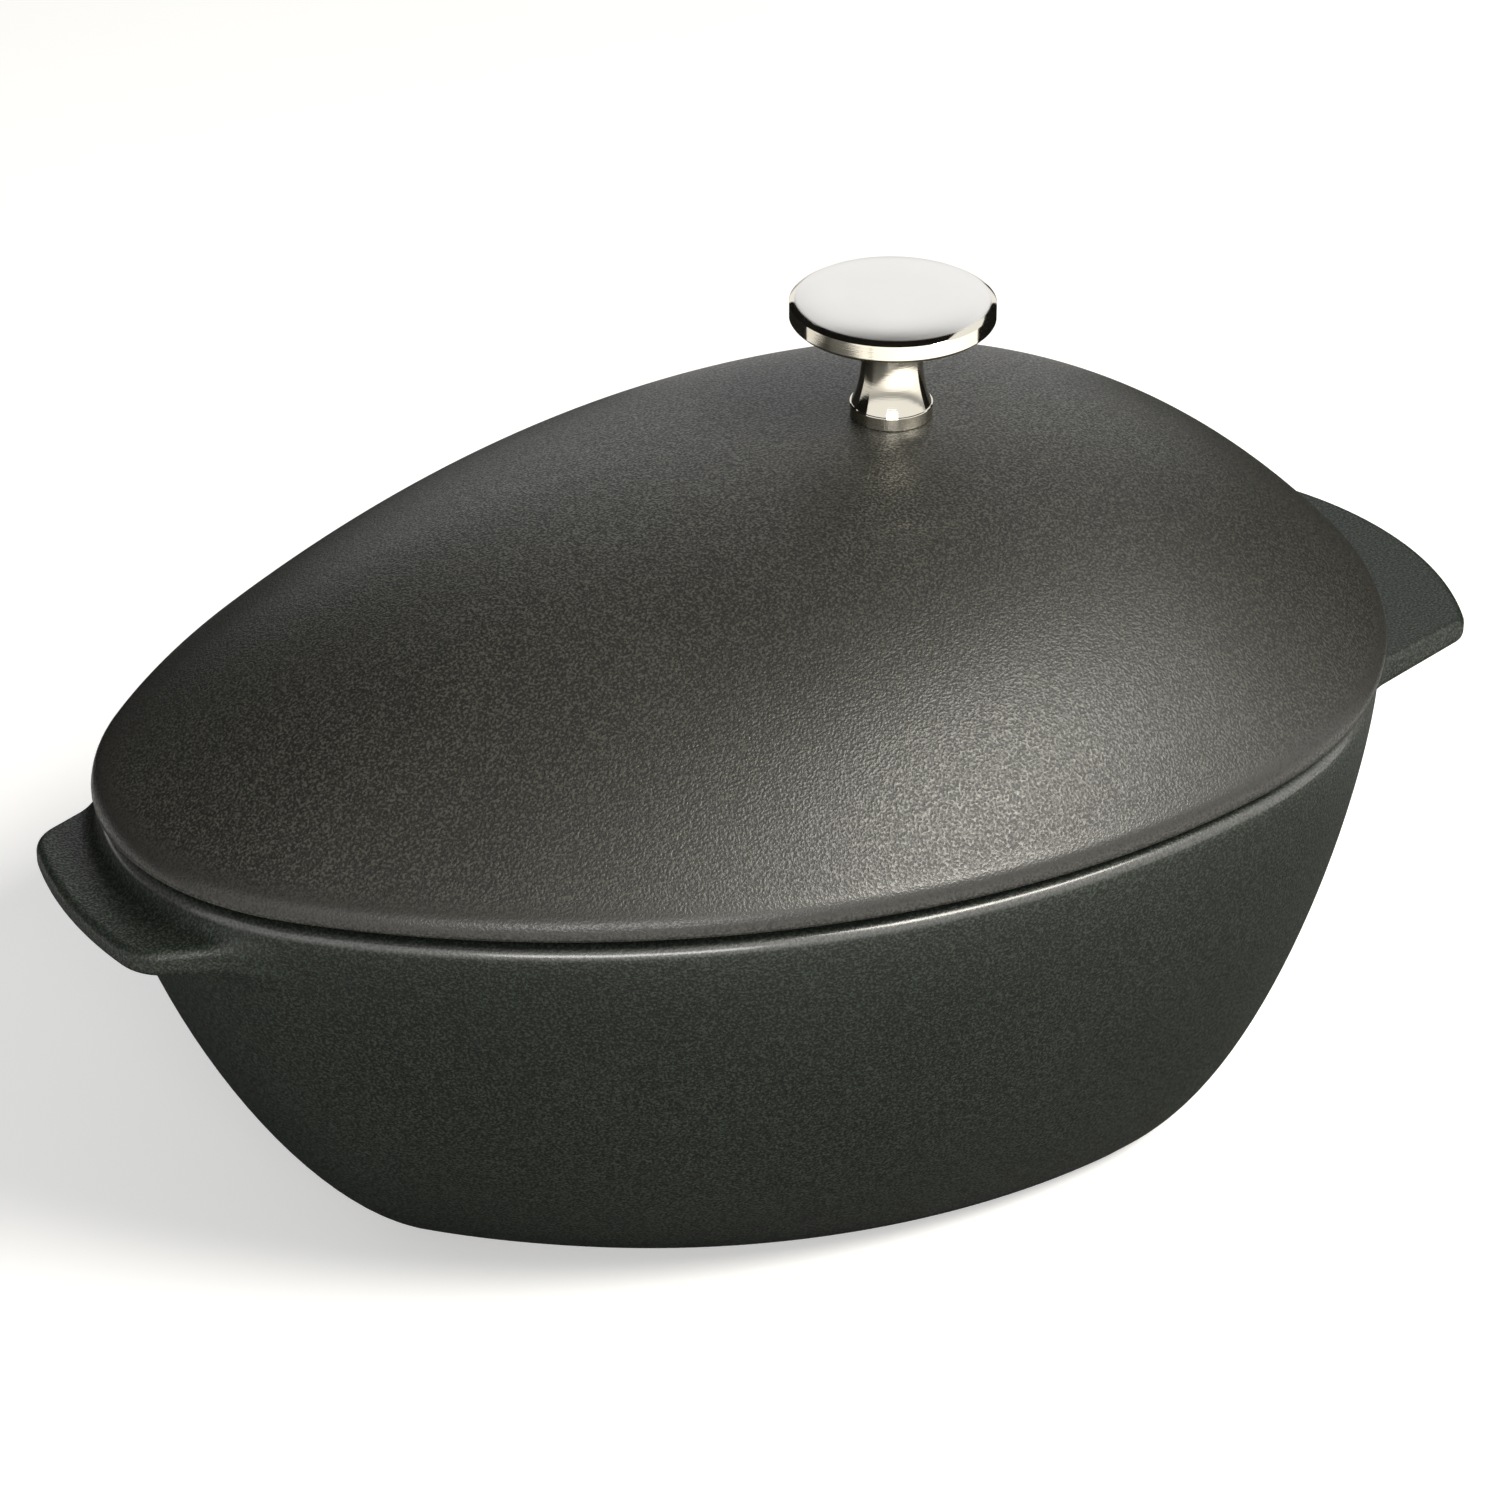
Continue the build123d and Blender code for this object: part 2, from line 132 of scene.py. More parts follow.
class HandleSizes(bpy.types.PropertyGroup):
    """Sizes of the two slab handles. The narrow end has its own reach, width, corner and drop."""

    full_reach: length("Full end reach", "Reach past the rim at the full end", 0.0262)
    narrow_reach: length("Narrow end reach", "Reach past the rim at the narrow end", 0.0110)
    full_half_width: length("Full end half width", "Half width of the tip at the full end", 0.0335)
    narrow_half_width: length(
        "Narrow end half width", "Half width of the tip at the narrow end", 0.0229
    )
    full_corner: length("Full end corner", "Corner radius in plan at the full end", 0.005)
    narrow_corner: length("Narrow end corner", "Corner radius in plan at the narrow end", 0.009)
    full_drop: length("Full end drop", "Depth of the handle's top under the rim", 0.0101)
    narrow_drop: length("Narrow end drop", "Depth of the handle's top under the rim", 0.0057)
    full_flare: amount("Full end flare", "How fast the sides widen towards the wall", 0.25)
    narrow_flare: amount("Narrow end flare", "How fast the sides widen towards the wall", 0.39)
    full_tip: length("Full end tip", "Radius of the tip in plan at the full end", 0.068)
    narrow_tip: length("Narrow end tip", "Radius of the tip in plan at the narrow end", 0.084)
    tip_thickness: length("Tip thickness", "Thickness at the tip", 0.0046)
    root_thickness: length("Root thickness", "Thickness at the root", 0.0066)
    root_depth: length("Root depth", "How far the root lies inside the rim", 0.020)
    rounding: length("Rounding", "Radius along the handle's edges", 0.0016)
    fillet: length("Fillet", "Cast fillet between the handle and the wall", 0.0042)


class LidSizes(bpy.types.PropertyGroup):
    """Sizes of the lid casting."""

    seat_gap: length("Seat gap", "Gap between the rim and the lid's flange", 0.0003)
    overhang: length("Overhang", "How far the flange reaches past the rim", 0.0011)
    flange: length("Flange", "Height of the flange", 0.0046)
    rounding: length("Rounding", "Radius along the flange's lower edge", 0.0008)
    reveal: length("Reveal", "How far the flange's lower edge lies over the seat", 0.0017)
    edge_blend: length("Edge blend", "Radius where the dome runs down into the flange", 0.005)
    rise: length("Dome rise", "Height of the dome over the flange", 0.0427)
    power: amount("Dome power", "Power of the dome's section", 2.43, 5)
    fullness: amount("Dome fullness", "Share of that power in the section", 1.16, 2)
    flat: amount("Flat", "Share of the dome round the knob that is level", 0.1)
    wall: length("Wall", "Thickness of the dome", 0.004)
    skirt_depth: length("Skirt depth", "How deep the skirt reaches into the pot", 0.005)
    skirt_wall: length("Skirt wall", "Thickness of the skirt", 0.003)
    skirt_clearance: length("Skirt clearance", "Gap between the skirt and the mouth", 0.001)
    hole: length("Hole radius", "Radius of the hole for the screw", 0.0034)
    crease: length("Crease", "Small radius of cast edges and corners", 0.0005)


class KnobSizes(bpy.types.PropertyGroup):
    """Sizes of the turned knob."""

    collar: length("Collar radius", "Radius of the collar on the lid", 0.0077)
    collar_height: length("Collar height", "Height of the collar", 0.0027)
    foot: length("Stem foot radius", "Radius of the stem over the collar", 0.0074)
    waist: length("Waist radius", "Radius of the stem's waist", 0.0057)
    waist_height: length("Waist height", "Height of the waist over the lid", 0.012)
    throat: length("Throat radius", "Radius of the stem under the disc", 0.0082)
    disc: length("Disc radius", "Radius of the disc", 0.0189)
    underside: length("Disc underside", "Height of the disc's underside over the lid", 0.019)
    disc_thickness: length("Disc thickness", "Thickness of the disc's edge", 0.0044)
    under_bevel: length("Lower bevel", "Bevel under the disc's edge", 0.0007)
    bevel: length("Bevel", "Width of the bevel over the disc's edge", 0.0012)
    bevel_drop: length("Bevel drop", "Depth of the bevel over the disc's edge", 0.0006)
    crown: length("Crown", "Rise of the disc's top", 0.0011)
    crown_power: amount("Crown power", "Power of the fall from the middle of the top", 5.0, 10)
    tapped: length("Tapped hole radius", "Radius of the hole in the stem", 0.00305)
    tapped_depth: length("Tapped hole depth", "Depth of the hole in the stem", 0.0128)
    breaking: length("Edge breaking", "Radius at which the turned edges are broken", 0.0002)


class Finishes(bpy.types.PropertyGroup):
    """Colours and textures of enamel and metals."""

    # Darker than the lid's enamel: the enamel's colour, darkened in part as painted shade for the
    # pot's walls
    pot_enamel_and_painted_shade: tint("Pot enamel", "Colour of the enamel on the pot", (0.0095, 0.0125, 0.0095))
    lid_enamel: tint("Lid enamel", "Colour of the enamel on the lid", (0.0172, 0.0172, 0.0146))
    pot_gloss: amount("Pot gloss", "Specular level of the enamel on the pot", 0.4)
    lid_gloss: amount("Lid gloss", "Specular level of the enamel on the lid", 0.45)
    pot_roughness: amount("Pot roughness", "Roughness of the enamel on the pot", 0.46)
    lid_roughness: amount("Lid roughness", "Roughness of the enamel on the lid", 0.43)
    # Paler than the lid's enamel: a painted highlight along the flange band
    lid_edge_painted_highlight: tint("Lid edge", "Colour of the enamel along the lid's edge", (0.031, 0.030, 0.027))
    # Paler than the pot's enamel: a painted highlight along the rim's rounded edge, which also
    # carries a glossy coat
    rim_painted_highlight: tint("Rim edge", "Colour of the rubbed line along the rim", (0.07, 0.07, 0.067))
    grain: length("Grain", "Width of the enamel's grain", 0.00048)
    relief: length("Relief", "Depth of the enamel's grain", 0.00007)
    satin_nickel: tint("Satin nickel", "Colour of the knob's satin top", (0.90, 0.885, 0.86))
    nickel: tint("Polished nickel", "Colour of the knob's polished parts", (0.82, 0.77, 0.66))
    steel: tint("Steel", "Colour of screw and washers", (0.58, 0.58, 0.57))
    sheet: tint("Strainer sheet", "Colour of the strainer", (0.66, 0.66, 0.65))


class StudioSettings(bpy.types.PropertyGroup):
    """Camera and light of the picture."""

    distance: length("Distance", "From the camera to the point it looks at", 0.9405)
    elevation: bearing("Elevation", "Angle of the view above the table", 30.64)
    turn: bearing("Turn", "Angle of the view round the pot", -29.67)
    target: FloatVectorProperty(
        name="Target", description="Point that the camera looks at",
        default=(-0.0047, 0.0019, 0.08), size=3, subtype="TRANSLATION",
    )
    lens: amount("Lens", "Focal length in mm on a 36 mm sensor", 120.0, 500)
    sky: amount("Sky", "Strength of the room's light on the object", 0.32, 5)


class Wire:
    """A shader socket. Arithmetic on it adds Math nodes to its tree."""

    def __init__(self, weave, socket):
        self.weave, self.socket = weave, socket

    def math(self, operation, *values):
        """One Math node on the given values, in this socket's tree."""
        return self.weave.node("ShaderNodeMath", {"operation": operation}, *values)[0]

    def __add__(self, other):
        return self.math("ADD", self, other)

    def __sub__(self, other):
        return self.math("SUBTRACT", self, other)

    def __rsub__(self, other):
        return self.math("SUBTRACT", other, self)

    def __mul__(self, other):
        return self.math("MULTIPLY", self, other)

    __radd__, __rmul__ = __add__, __mul__

    def root(self):
        """The value's square root."""
        return self.math("SQRT", self)

    def clamped(self):
        """The value held between 0 and 1."""
        return self.weave.node("ShaderNodeClamp", {}, self)[0]


class Weave:
    """A node tree of a material or a world, with its output."""

    def __init__(self, owner, output="ShaderNodeOutputMaterial"):
        owner.use_nodes = True
        self.owner, self.tree = owner, owner.node_tree
        self.tree.nodes.clear()
        self.output = self.tree.nodes.new(output)

    def node(self, kind, settings, *values, **named):
        """Adds a node. Settings come first, then values or wires by socket number or name.

        A ramp's stops are a list of (position, colour) under the setting "stops". The result is
        the list of the node's outputs as wires.
        """
        node = self.tree.nodes.new(kind)
        for key, value in settings.items():
            if key == "stops":
                elements = node.color_ramp.elements
                while len(elements) < len(value):
                    elements.new(0.5)
                for element, (position, colour) in zip(elements, value):
                    element.position, element.color = position, colour
            else:
                setattr(node, key, value)
        spelt = {key.replace("_", " "): value for key, value in named.items()}
        for key, value in [*enumerate(values), *spelt.items()]:
            self.plug(node.inputs[key], value)
        return [Wire(self, socket) for socket in node.outputs]

    def plug(self, socket, value):
        """Links a wire to a socket, or sets the socket's value."""
        if isinstance(value, Wire):
            self.tree.links.new(value.socket, socket)
        else:
            socket.default_value = value

    def place(self):
        """Object coordinates."""
        return self.node("ShaderNodeTexCoord", {})[3]

    def noise(self, place, width, detail=2.0, roughness=0.5):
        """Noise between 0 and 1 whose bumps are about as wide as asked."""
        sockets = {"Scale": 1 / width, "Detail": detail, "Roughness": roughness}
        return self.node("ShaderNodeTexNoise", {}, Vector=place, **sockets)[0]

    def ramp(self, value, *stops):
        """A value or colour read from stops of (position, grey or colour)."""
        filled = [(p, (c, c, c, 1) if isinstance(c, (int, float)) else (*c, 1)) for p, c in stops]
        return self.node("ShaderNodeValToRGB", {"stops": filled}, value)[0]

    def blend(self, share, first, second):
        """A colour between two colours, which are sockets 6 and 7 of a Mix node."""
        outputs = self.node("ShaderNodeMix", {"data_type": "RGBA"}, share)
        mix = outputs[0].socket.node
        for number, colour in ((6, first), (7, second)):
            self.plug(mix.inputs[number], (*colour, 1) if isinstance(colour, tuple) else colour)
        return outputs[2]

    def relief(self, height, depth):
        """A Bump node's normal for a height map of a depth in metres."""
        return self.node("ShaderNodeBump", {}, Height=height, Distance=depth)[0]

    def show(self, shader):
        """Ends the tree with a shader, and returns the material or world."""
        self.tree.links.new(shader.socket, self.output.inputs["Surface"])
        return self.owner

    def finish(self, **sockets):
        """Ends the tree with the main shader, its sockets set."""
        return self.show(self.node("ShaderNodeBsdfPrincipled", {}, **sockets)[0])


def new_weave(name):
    """The node tree of a new material."""
    return Weave(bpy.data.materials.new(name))


class Egg(NamedTuple):
    """An egg outline of four tangent arcs, as in the model: numbers, or columns of numbers."""

    half_length: float
    half_width: float
    nose: float
    tail: float
    centre: float

    def grown(self, by):
        """The outline moved outwards everywhere."""
        return Egg(*(size + by for size in self[:4]), self.centre)

    def towards(self, other, share):
        """The outline part of the way to another."""
        return Egg(*(a + (b - a) * share for a, b in zip(self, other)))

    def points(self, angle):
        """The points whose outward normals have the given angles.

        Nose and tail are circles on the long axis. Each side is a larger circle that holds both
        inside it and touches them, which makes its radius the root of a quadratic. A point is its
        arc's centre plus the arc's radius along the normal.
        """
        nose = self.centre + self.half_length - self.nose
        tail = self.centre - self.half_length + self.tail
        lean = (self.nose - self.tail) / (nose - tail)
        offset = (tail - nose - lean * (self.nose + self.tail)) / 2
        half_b = lean * offset + self.nose - self.half_width
        c = offset**2 + self.half_width**2 - self.nose**2
        radius = c / (np.sqrt(half_b**2 - c * lean**2) - half_b)
        side_x, side_y = nose + offset + lean * radius, self.half_width - radius
        turn = np.abs(angle)
        nose_end = np.arctan2(-side_y, nose - side_x)
        tail_end = np.arctan2(-side_y, tail - side_x)
        on_nose, on_tail = turn < nose_end, turn > tail_end
        arc = np.where(on_nose, self.nose, np.where(on_tail, self.tail, radius))
        x = np.where(on_nose, nose, np.where(on_tail, tail, side_x)) + arc * np.cos(turn)
        y = np.where(on_nose | on_tail, 0, side_y) + arc * np.sin(turn)
        return x, np.sign(angle) * y


def even_angles(egg, count, crowding):
    """Normal angles round an egg at even steps of its length, closer where the crowding is high."""
    fine = np.linspace(-pi, pi, 20001)
    x, y = egg.points(fine)
    middle_x, middle_y = (x[1:] + x[:-1]) / 2, (y[1:] + y[:-1]) / 2
    steps = np.hypot(np.diff(x), np.diff(y)) * crowding(middle_x, middle_y)
    travelled = np.concatenate([[0], np.cumsum(steps)])
    return np.interp(np.arange(count) / count * travelled[-1], travelled, fine)


def rounded_meet(first, second, radius, cosine=0.0):
    """Distance to what two solids share, with the edge between them rounded to a radius.

    It is the larger of the two distances, and round the corner the distance to the point that lies
    the radius inside both, less the radius. That point's distance is the third side of a triangle,
    from the two distances and the cosine of the angle between the solids' outward directions.
    """
    a, b = first + radius, second + radius
    corner = (a > b * cosine) & (b > a * cosine) & (a + b > 0)
    squared = np.maximum(a**2 + b**2 - 2 * a * b * cosine, 0) / (1 - cosine**2)
    return np.where(corner, np.sqrt(squared), np.maximum(a, b)) - radius


def filleted_join(first, second, radius):
    """Distance to two solids joined, with a fillet between them: the smaller of the two distances,
    less what a circle touching both fills in."""
    a, b = np.maximum(radius - first, 0), np.maximum(radius - second, 0)
    return np.maximum(radius, np.minimum(first, second)) - np.hypot(a, b)


def arc(centre, radius, start, end, count):
    """Rows of (offset, height) along an arc, with its angles in degrees."""
    angle = np.radians(np.linspace(start, end, count))
    return np.stack([centre[0] + radius * np.cos(angle), centre[1] + radius * np.sin(angle)], 1)


def grid_mesh(name, x, y, z, closed_down=False):
    """A mesh from a grid of points, rows down and columns round.

    Columns always close on themselves. Rows either close too, as on a ring, or end at the first
    and last rows, which are poles of one point each.
    """
    rows, columns = x.shape
    points = np.stack([x, y, z], 2)
    if closed_down:
        vertices = points.reshape(-1, 3)
        first, last = np.arange(rows), (np.arange(rows) + 1) % rows
        faces = quads(first, last, columns)
    else:
        inner = points[1:-1].reshape(-1, 3)
        vertices = np.concatenate([inner, points[:1, 0], points[-1:, 0]])
        body = np.arange(rows - 3)
        around = np.arange(columns)
        onward = (around + 1) % columns
        bottom = (rows - 3) * columns
        top_pole, low_pole = len(inner), len(inner) + 1
        cap = np.stack([np.full(columns, top_pole), onward, around], 1)
        end = np.stack([np.full(columns, low_pole), bottom + around, bottom + onward], 1)
        faces = [*quads(body, body + 1, columns), *cap.tolist(), *end.tolist()]
    mesh = bpy.data.meshes.new(name)
    mesh.from_pydata(vertices.tolist(), [], faces)
    mesh.update()
    return mesh


def quads(first, second, columns):
    """Faces between rows of a grid whose columns close on themselves."""
    a = (first[:, None] * columns + np.arange(columns)).ravel()
    b = (first[:, None] * columns + (np.arange(columns) + 1) % columns).ravel()
    c = (second[:, None] * columns + (np.arange(columns) + 1) % columns).ravel()
    d = (second[:, None] * columns + np.arange(columns)).ravel()
    return np.stack([a, b, c, d], 1).tolist()


def piece(name, mesh, body, node, material, crisp=30):
    """Puts a mesh in the scene in place of a node: outward faces, smooth but for crisp edges."""
    form = bmesh.new()
    form.from_mesh(mesh)
    bmesh.ops.recalc_face_normals(form, faces=form.faces)
    form.to_mesh(mesh)
    form.free()
    mesh.materials.append(material)
    shape = bpy.data.objects.new(name, mesh)
    bpy.context.scene.collection.objects.link(shape)
    mesh.shade_smooth()
    mesh.set_sharp_from_angle(angle=radians(crisp))
    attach(shape, body)
    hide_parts(node)
    return shape


def rim_outline(sizes):
    """The rim's outline, which lies off the origin because the two handles reach unequally."""
    half_length, centre = sizes.rim_length / 2, sizes.rim_centre
    return Egg(half_length, sizes.rim_half_width, sizes.rim_nose, sizes.rim_tail, centre)


def base_outline(sizes):
    """The bowl's outline at its foot."""
    half_length, centre = sizes.base_length / 2, sizes.rim_centre + sizes.base_shift
    return Egg(half_length, sizes.base_half_width, sizes.base_nose, sizes.base_tail, centre)


def handle_distance(x, y, z, sizes, hold, top):
    """Distance to the nearer handle, negative inside.

    In plan a handle is what a tip circle and two flared sides share, with rounded corners. In
    height it lies between a level top and an underside that slopes with the reach. The edges
    between plan and height are rounded too.
    """
    middle = rim_outline(sizes)
    full = x > middle.centre
    out = np.abs(x - middle.centre)
    half_width = np.where(full, hold.full_half_width, hold.narrow_half_width)
    tip = middle.half_length + np.where(full, hold.full_reach, hold.narrow_reach)
    corner = np.where(full, hold.full_corner, hold.narrow_corner)
    high = top - np.where(full, hold.full_drop, hold.narrow_drop)
    tip_radius = np.where(full, hold.full_tip, hold.narrow_tip)
    tip_centre = tip - tip_radius
    corner_x = tip_centre + np.sqrt(tip_radius**2 - half_width**2)
    flare = np.where(full, hold.full_flare, hold.narrow_flare)
    side = (np.abs(y) - half_width - flare * (corner_x - out)) / np.hypot(1, flare)
    from_centre = np.maximum(np.hypot(out - tip_centre, y), tip_radius / 2)
    turn = (flare * (out - tip_centre) + np.abs(y)) / (np.hypot(1, flare) * from_centre)
    plan = rounded_meet(side, from_centre - tip_radius, corner, np.clip(turn, 0, 0.9))
    root = middle.half_length - hold.root_depth
    slimming = (hold.root_thickness - hold.tip_thickness) / (tip - root)
    thickness = hold.root_thickness - slimming * (out - root)
    height = np.maximum(z - high, high - thickness - z)
    return rounded_meet(plan, height, hold.rounding), plan, high, high - thickness


def pot_grid(sizes, hold, top):
    """The pot casting as one grid, from the middle of its underside to the middle of its floor.

    A row has an outline, an offset and a height. The outline goes from rim to base by a
    superellipse: depth to the belly's power is the square of a sine, and what is left of the way
    in, to the flare's power, is the square of the cosine. The stretch that carries the handles
    starts from a path straight up the wall, out along the handle and back, and each of its points
    is then moved, in steps of the distance over the slope, until it lies on the wall and handles
    joined by a fillet.
    """
    rim, base = rim_outline(sizes), base_outline(sizes)

    def crowding(x, y):
        """Columns crowd at the sides of the handles."""
        near_end = np.abs(x - rim.centre) > rim.half_length * 0.55
        side = np.where(x > rim.centre, hold.full_half_width, hold.narrow_half_width)
        return 1 + 2.6 * near_end * np.exp(-(((np.abs(y) - side) / 0.010) ** 2))

    angle = even_angles(rim, POT_COLUMNS, crowding)
    cos_angle, sin_angle = np.cos(angle), np.sin(angle)
    band = top - sizes.band
    belly, flare = 2 / sizes.belly, 2 / sizes.flare

    def share_at(z, low):
        """How far the outline has gone from rim to base at a height."""
        depth = np.clip((band - z) / (band - low), 0, 1)
        return 1 - (1 - depth**sizes.belly) ** (1 / sizes.flare)

    def rows(share, offset, height, scale=1.0):
        """Points of rows of outlines, offset outwards and scaled towards their centres."""
        share, offset, height, scale = np.broadcast_arrays(share, offset, height, scale)
        egg = rim.towards(base, share[:, None])
        x, y = egg.points(angle[None])
        x = egg.centre + (x + offset[:, None] * cos_angle - egg.centre) * scale[:, None]
        y = (y + offset[:, None] * sin_angle) * scale[:, None]
        return x, y, np.broadcast_to(height[:, None], x.shape)

    foot, step, soft = sizes.foot_height, sizes.foot_step, sizes.foot_rounding
    low_edge = arc((step - soft, soft), soft, -90, 0, 6)
    high_edge = arc((step - soft, foot - soft), soft, 0, 90, 6)
    underside = rows(1.0, low_edge[0, 0], 0.0, np.linspace(0, 1, 9)[:-1])
    ring = np.concatenate([low_edge, high_edge])
    ring = rows(1.0, ring[:, 0], ring[:, 1])

    tau_top = np.arcsin(((band - HANDLES_FROM) / (band - foot)) ** (sizes.belly / 2))
    tau = np.linspace(pi / 2, tau_top, 26)[:-1]
    lower_wall = rows(1 - np.cos(tau) ** flare, 0.0, band - (band - foot) * np.sin(tau) ** belly)

    rim_start = top - sizes.rim_rounding
    span = HANDLES_FROM, rim_start
    over_wall = wall_and_handles(rim, base, sizes, hold, top, angle, share_at, *span)

    round_out = arc((-sizes.rim_rounding, rim_start), sizes.rim_rounding, 0, 90, 6)[1:]
    mouth = sizes.mouth_rounding
    round_in = arc((mouth - sizes.wall, top - mouth), mouth, 90, 180, 6)
    lip = np.concatenate([round_out, round_in])
    lip = rows(0.0, lip[:, 0], lip[:, 1])
    tau = np.linspace(0, pi / 2, 30)
    inner_height = band - (band - sizes.floor) * np.sin(tau) ** belly
    inside = rows(1 - np.cos(tau) ** flare, -sizes.wall, inner_height)
    floor = rows(1.0, -sizes.wall, sizes.floor, np.linspace(1, 0, 9)[1:])
    parts = [underside, ring, lower_wall, over_wall, lip, inside, floor]
    return [np.concatenate([part[axis] for part in parts]) for axis in range(3)]


def wall_and_handles(rim, base, sizes, hold, top, angle, share_at, start, end):
    """Rows of the outer wall between two heights, with the handles drawn out of it."""
    cos_angle, sin_angle = np.cos(angle), np.sin(angle)

    def place(out, z):
        """Points at a distance out from the wall and a height."""
        egg = rim.towards(base, share_at(z, sizes.foot_height))
        x, y = egg.points(np.broadcast_to(angle, z.shape))
        return x + out * cos_angle, y + out * sin_angle

    def distance(out, z):
        """Distance of such points to wall and handles joined."""
        x, y = place(out, z)
        return filleted_join(out, handle_distance(x, y, z, sizes, hold, top)[0], hold.fillet)

    reach = np.linspace(0, 0.04, 801)[:, None]
    middle = np.full((1, len(angle)), top - hold.full_drop - hold.tip_thickness / 2)
    x, y = place(reach, np.broadcast_to(middle, (len(reach), len(angle))))
    _, plan, high, low = handle_distance(x, y, middle, sizes, hold, top)
    inside = np.where(plan <= 0, reach, 0)
    reach = inside.max(0)
    at = inside.argmax(0), np.arange(len(angle))
    high, low = high[at], low[at]

    legs = [low - start, reach, high - low, reach, end - high]
    ends = np.cumsum(legs, 0)
    fine = np.linspace(0, 1, 700)[:, None] * ends[-1]
    turn_width = 0.0022
    near = sum(np.exp(-(((fine - turning) / turn_width) ** 2)) for turning in ends[:-1])
    gathered = np.cumsum(1 + 1.6 * near, 0)
    gathered = (gathered - gathered[0]) / (gathered[-1] - gathered[0])
    share = np.linspace(0, 1, 92)[1:]
    travelled = np.stack([np.interp(share, *pair) for pair in zip(gathered.T, fine.T)], 1)
    out = np.clip(travelled - ends[0], 0, reach) - np.clip(travelled - ends[2], 0, reach)
    z = start + np.clip(travelled, 0, legs[0]) + np.clip(travelled - ends[1], 0, legs[2])
    z = z + np.clip(travelled - ends[3], 0, legs[4])
    small = 1e-6
    for _ in range(14):
        here = distance(out, z)
        slope_out = (distance(out + small, z) - here) / small
        slope_z = (distance(out, z + small) - here) / small
        steep = np.maximum(slope_out**2 + slope_z**2, 0.2)
        held = (z >= end - 1e-9) | (z <= start + 1e-9)
        out = out - here * slope_out / steep
        z = np.where(held, z, np.clip(z - here * slope_z / steep, start, end))
    x, y = place(out, z)
    return x, y, z


def lid_grid(sizes, lid, top, knob_x):
    """The lid casting as one ring-shaped grid, from its hole over the dome and back inside.

    The dome shrinks the outline towards the apex by a share that runs from 1 at its foot to 0, and
    rises by its rise times a mix of one less the share to a power and one less its square. The
    inside is the same surface sunk along its slope by the wall.
    """
    rim = rim_outline(sizes)
    edge = rim.grown(lid.overhang)
    angle = even_angles(rim, LID_COLUMNS, lambda x, y: 1 + 0 * x)
    seat = top + lid.seat_gap
    foot = seat + lid.flange

    def rise(share):
        """Height of the dome over its foot."""
        blunt, round_one = 1 - share**lid.power, 1 - share**2
        return lid.rise * (lid.fullness * blunt + (1 - lid.fullness) * round_one)

    def fall(share):
        """How fast the dome falls with the share."""
        blunt, round_one = lid.power * share ** (lid.power - 1), 2 * share
        return lid.rise * (lid.fullness * blunt + (1 - lid.fullness) * round_one)

    def dome_rows(share, sunk):
        """Rows of the dome at given shares, sunk along its slope."""
        share = share + 0 * angle
        slope = np.arctan2(fall(share), (edge.half_length + edge.half_width) / 2)
        x, y = Egg(0, 0, 0, 0, knob_x).towards(edge, share).points(angle[None])
        inward, height = sunk * np.sin(slope), foot + rise(share) - sunk * np.cos(slope)
        return x - inward * np.cos(angle), y - inward * np.sin(angle), height

    def outline_rows(egg, offset, height):
        """Rows of one outline at given offsets and heights."""
        x, y = egg.points(angle[None])
        return x + offset * np.cos(angle), y + offset * np.sin(angle), height + 0 * x

    def arc_rows(egg, centre, radius, start, end, count):
        """Rows along an arc whose centre is an offset from an outline and a height."""
        rows = arc(centre, radius, start, end, count)
        return outline_rows(egg, rows[:, :1], rows[:, 1:])

    def round_rows(radius, height):
        """Rows of circles round the screw."""
        radius, height = np.asarray(radius)[:, None], np.asarray(height)[:, None]
        return knob_x + radius * np.cos(angle), radius * np.sin(angle), height + 0 * angle

    def level_rows(circle, rows, shares):
        """Rows between a circle and the first or last row of a surface, at one height."""
        x, y, z = (axis[:1] for axis in rows)
        near = round_rows([circle], [z[0, 0]])
        share = np.asarray(shares)[:, None]
        return tuple(a + (b - a) * share for a, b in zip(near, (x, y, z)))

    skirt = rim.grown(-sizes.wall - lid.skirt_clearance)
    hollow = skirt.grown(-lid.skirt_wall)
    x, y = edge.points(angle)
    run = (x - knob_x) * np.cos(angle) + y * np.sin(angle)
    end = 1.0
    for _ in range(3):
        sweep = pi / 2 - np.arctan2(fall(end), run)
        end = 1 - lid.edge_blend * (1 - np.cos(sweep)) / run
    blend_height = foot + rise(end) - lid.edge_blend * np.sin(sweep)
    turn = np.linspace(1, 0, 9)[1:, None] * sweep
    inwards, upwards = lid.edge_blend * (np.cos(turn) - 1), lid.edge_blend * np.sin(turn)
    blend = outline_rows(edge, inwards, blend_height + upwards)

    steps = np.linspace(0, 1, 60)[:, None]
    outer = dome_rows(lid.flat + (end - lid.flat) * steps, 0.0)
    inner = dome_rows(lid.flat + (1 - lid.flat) * steps, lid.wall)
    crown, ceiling = outer[2][0, 0], inner[2][0, 0]
    toe, crease, soft = top - lid.skirt_depth, lid.crease, lid.rounding
    to_hole = np.linspace(0, 1, 6)[:-1]
    parts = [
        round_rows([lid.hole, lid.hole], [ceiling + crease, crown - crease]),
        level_rows(lid.hole + crease, outer, to_hole),
        outer,
        blend,
        arc_rows(edge, (-soft, seat + lid.reveal + soft), soft, 0, -70, 5),
        arc_rows(skirt, (crease, seat - crease), crease, 90, 180, 4),
        arc_rows(skirt, (-crease, toe + crease), crease, 0, -90, 4),
        arc_rows(hollow, (crease, toe + crease), crease, -90, -180, 4),
        ceiling_rows(hollow, angle, inner),
        tuple(axis[::-1] for axis in level_rows(lid.hole + crease, inner, to_hole)),
    ]
    return [np.concatenate([part[axis] for part in parts]) for axis in range(3)]


